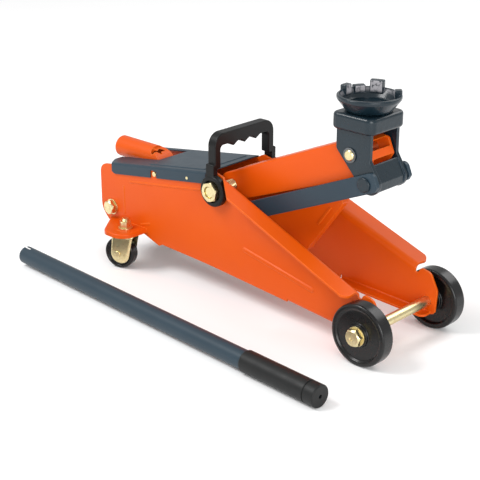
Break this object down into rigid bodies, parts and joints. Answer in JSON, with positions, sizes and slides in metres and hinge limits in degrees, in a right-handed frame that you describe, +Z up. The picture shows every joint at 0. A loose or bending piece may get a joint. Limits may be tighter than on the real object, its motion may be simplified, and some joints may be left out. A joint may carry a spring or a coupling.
{
  "type": "trolley jack",
  "caption": "Low hydraulic trolley jack with pressed side plates, a lifting arm with a turning saddle, a carry handle and a separate pump bar.",
  "frame": {"origin": "on the floor, midway between the two front wheels, straight under the front axle", "axes": "+X forward, from the handle socket to the front wheels; +Y to the jack's left; +Z up"},
  "size_m": [0.5114, 0.264, 0.2797],
  "materials": {
    "orange_paint": "glossy orange powder coat on pressed steel",
    "slate_paint": "satin slate-blue powder coat on steel",
    "cast_slate": "glossy dark slate paint on a casting",
    "yellow_zinc": "yellow-passivated zinc plating",
    "bright_steel": "ground and hard-chromed steel",
    "black_plastic": "moulded black plastic with a fine texture",
    "wheel_plastic": "moulded black nylon, half gloss",
    "grip_rubber": "soft black grip",
    "cast_metal": "machined casting, dull grey",
    "seal_rubber": "oil-resistant rubber",
    "spring_steel": "drawn spring wire"
  },
  "bodies": {
    "frame": {"side_plate_left": "orange_paint", "side_plate_right": "orange_paint", "front_axle": "yellow_zinc", "axle_nuts": "yellow_zinc", "axle_washers": "yellow_zinc", "axle_spacers": "yellow_zinc", "main_pivot_shaft": "yellow_zinc", "pivot_nuts": "yellow_zinc", "top_cover": "slate_paint", "cover_screws": "yellow_zinc", "pump_block": "cast_metal", "ram_cylinder": "bright_steel", "reservoir_tube": "cast_metal", "reservoir_cap": "cast_metal", "gland_nut": "cast_metal", "rod_seal": "seal_rubber", "filler_plug": "seal_rubber", "relief_plug": "yellow_zinc", "rear_bolts": "yellow_zinc", "rear_washers": "yellow_zinc", "link_studs": "orange_paint", "socket_pin": "yellow_zinc", "pump_gland": "yellow_zinc", "pump_spring": "spring_steel", "caster_stud_left": "yellow_zinc", "caster_stud_right": "yellow_zinc", "caster_nut_left": "yellow_zinc", "caster_nut_right": "yellow_zinc", "caster_washer_left": "yellow_zinc", "caster_washer_right": "yellow_zinc"},
    "front_wheel_left": {"front_wheel_left": "wheel_plastic"},
    "front_wheel_right": {"front_wheel_right": "wheel_plastic"},
    "carry_handle": {"carry_handle": "black_plastic"},
    "release_valve": {"release_valve": "yellow_zinc"},
    "ram": {"ram_clevis": "cast_metal", "ram_pin": "yellow_zinc", "piston_rod": "bright_steel", "piston": "bright_steel", "piston_seal": "seal_rubber"},
    "lift_arm": {"lift_arm": "orange_paint", "lever_plate": "orange_paint", "arm_bush": "yellow_zinc"},
    "head": {"saddle_head": "cast_slate", "head_pin": "yellow_zinc", "head_pin_clips": "spring_steel", "link_rivets": "cast_slate"},
    "saddle": {"saddle": "cast_slate", "saddle_clip": "spring_steel"},
    "link_left": {"link_bar_left": "slate_paint"},
    "link_right": {"link_bar_right": "slate_paint"},
    "handle_socket": {"handle_socket": "orange_paint"},
    "pump_plunger": {"pump_plunger": "bright_steel"},
    "caster_left": {"caster_fork_left": "yellow_zinc", "caster_axle_left": "yellow_zinc"},
    "caster_right": {"caster_fork_right": "yellow_zinc", "caster_axle_right": "yellow_zinc"},
    "caster_wheel_left": {"caster_wheel_left": "wheel_plastic"},
    "caster_wheel_right": {"caster_wheel_right": "wheel_plastic"},
    "pump_bar": {"pump_bar": "slate_paint", "bar_grip": "grip_rubber"}
  },
  "joints": [
    {"name": "lift", "type": "hinge", "parent": "frame", "child": "lift_arm", "pos_m": [-0.233, 0, 0.133], "axis": [0, -1, 0], "range_deg": [-36, 14.6]},
    {"name": "head_level", "type": "hinge", "parent": "lift_arm", "child": "head", "pos_m": [-0.055, 0, 0.20966], "axis": [0, -1, 0], "range_deg": [-14.7, 36.1]},
    {"name": "link_left_swing", "type": "hinge", "parent": "frame", "child": "link_left", "pos_m": [-0.209, 0.0283, 0.107], "axis": [0, -1, 0], "range_deg": [-36.1, 14.7]},
    {"name": "link_right_swing", "type": "hinge", "parent": "frame", "child": "link_right", "pos_m": [-0.209, -0.0283, 0.107], "axis": [0, -1, 0], "range_deg": [-36.1, 14.7]},
    {"name": "ram_slide", "type": "slide", "parent": "frame", "child": "ram", "axis": [1, 0, 0], "range_m": [-0.0335, 0.0137]},
    {"name": "saddle_turn", "type": "hinge", "parent": "head", "child": "saddle", "pos_m": [-0.05221, 0, 0.2545], "axis": [0, 0, 1], "continuous": true},
    {"name": "pump_stroke", "type": "hinge", "parent": "frame", "child": "handle_socket", "pos_m": [-0.385, 0, 0.1185], "axis": [0, 1, 0], "range_deg": [0, 45]},
    {"name": "plunger_slide", "type": "slide", "parent": "frame", "child": "pump_plunger", "axis": [0, 0, 1], "range_m": [0, 0.016], "deforming": ["pump_spring"]},
    {"name": "release_turn", "type": "hinge", "parent": "frame", "child": "release_valve", "pos_m": [-0.432, 0.024, 0.076], "axis": [-1, 0, 0], "range_deg": [0, 360]},
    {"name": "carry_swing", "type": "hinge", "parent": "frame", "child": "carry_handle", "pos_m": [-0.233, 0, 0.133], "axis": [0, 1, 0], "range_deg": [-24, 21]},
    {"name": "front_wheel_left_roll", "type": "hinge", "parent": "frame", "child": "front_wheel_left", "pos_m": [0, 0.0646, 0.035], "axis": [0, 1, 0], "continuous": true},
    {"name": "front_wheel_right_roll", "type": "hinge", "parent": "frame", "child": "front_wheel_right", "pos_m": [0, -0.0646, 0.035], "axis": [0, 1, 0], "continuous": true},
    {"name": "caster_left_swivel", "type": "hinge", "parent": "frame", "child": "caster_left", "pos_m": [-0.377, 0.06, 0.045], "axis": [0, 0, 1], "continuous": true},
    {"name": "caster_right_swivel", "type": "hinge", "parent": "frame", "child": "caster_right", "pos_m": [-0.377, -0.06, 0.045], "axis": [0, 0, 1], "continuous": true},
    {"name": "caster_wheel_left_roll", "type": "hinge", "parent": "caster_left", "child": "caster_wheel_left", "pos_m": [-0.38363, 0.05777, 0.02], "axis": [-0.319, 0.9478, 0], "continuous": true},
    {"name": "caster_wheel_right_roll", "type": "hinge", "parent": "caster_right", "child": "caster_wheel_right", "pos_m": [-0.38363, -0.06223, 0.02], "axis": [-0.319, 0.9478, 0], "continuous": true},
    {"name": "bar_lift_off", "type": "slide", "parent": "frame", "child": "pump_bar", "axis": [0, 0, 1], "range_m": [0, 0.25]}
  ],
  "couplings": [
    {"joint": "head_level", "follows": "lift", "ratio": -1},
    {"joint": "link_left_swing", "follows": "lift", "ratio": 1},
    {"joint": "link_right_swing", "follows": "lift", "ratio": 1},
    {"joint": "ram_slide", "follows": "lift", "m_per_rad": 0.053},
    {"joint": "plunger_slide", "follows": "pump_stroke", "m_per_rad": 0.02}
  ]
}
